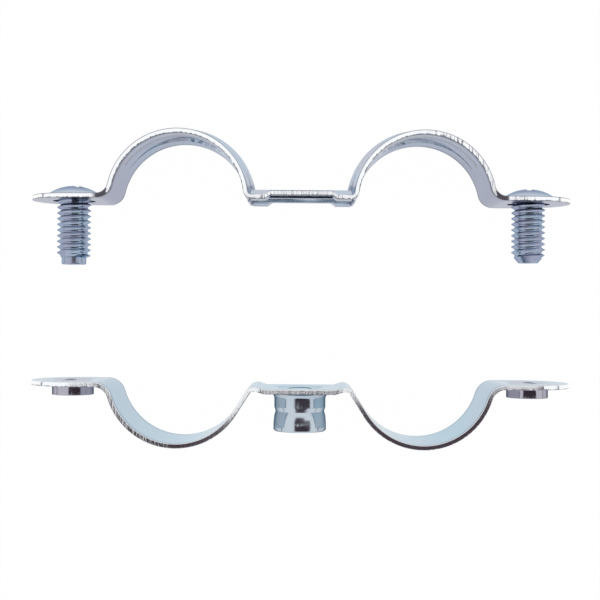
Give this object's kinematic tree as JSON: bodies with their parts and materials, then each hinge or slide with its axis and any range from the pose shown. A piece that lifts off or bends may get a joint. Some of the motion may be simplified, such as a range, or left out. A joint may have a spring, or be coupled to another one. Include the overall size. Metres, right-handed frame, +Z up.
{
  "type": "double conduit clamp",
  "caption": "Double conduit clamp of pressed zinc-plated steel strip, taken apart: a cap strap carrying its screws above a base strap with a threaded fixing boss.",
  "frame": {"origin": "centre of the mouth of the drawn fixing boss", "axes": "+X along the straps to the right end, +Y from the base strap to the cap strap, +Z up, along the conduits; the clamp lies on the long edges of its straps"},
  "size_m": [0.095, 0.0553, 0.0154],
  "materials": {
    "zinc_strip": "bright zinc plate, blue passivated, with rough sheared edges",
    "zinc_screw": "bright zinc plate, blue passivated"
  },
  "bodies": {
    "base_half": {"lower_strap": "zinc_strip"},
    "cap_half": {"upper_strap": "zinc_strip", "clamp_screw_left": "zinc_screw", "clamp_screw_right": "zinc_screw"}
  },
  "joints": [
    {"name": "cap_close", "type": "slide", "parent": "base_half", "child": "cap_half", "axis": [0, -1, 0], "range_m": [0, 0.0304]}
  ]
}
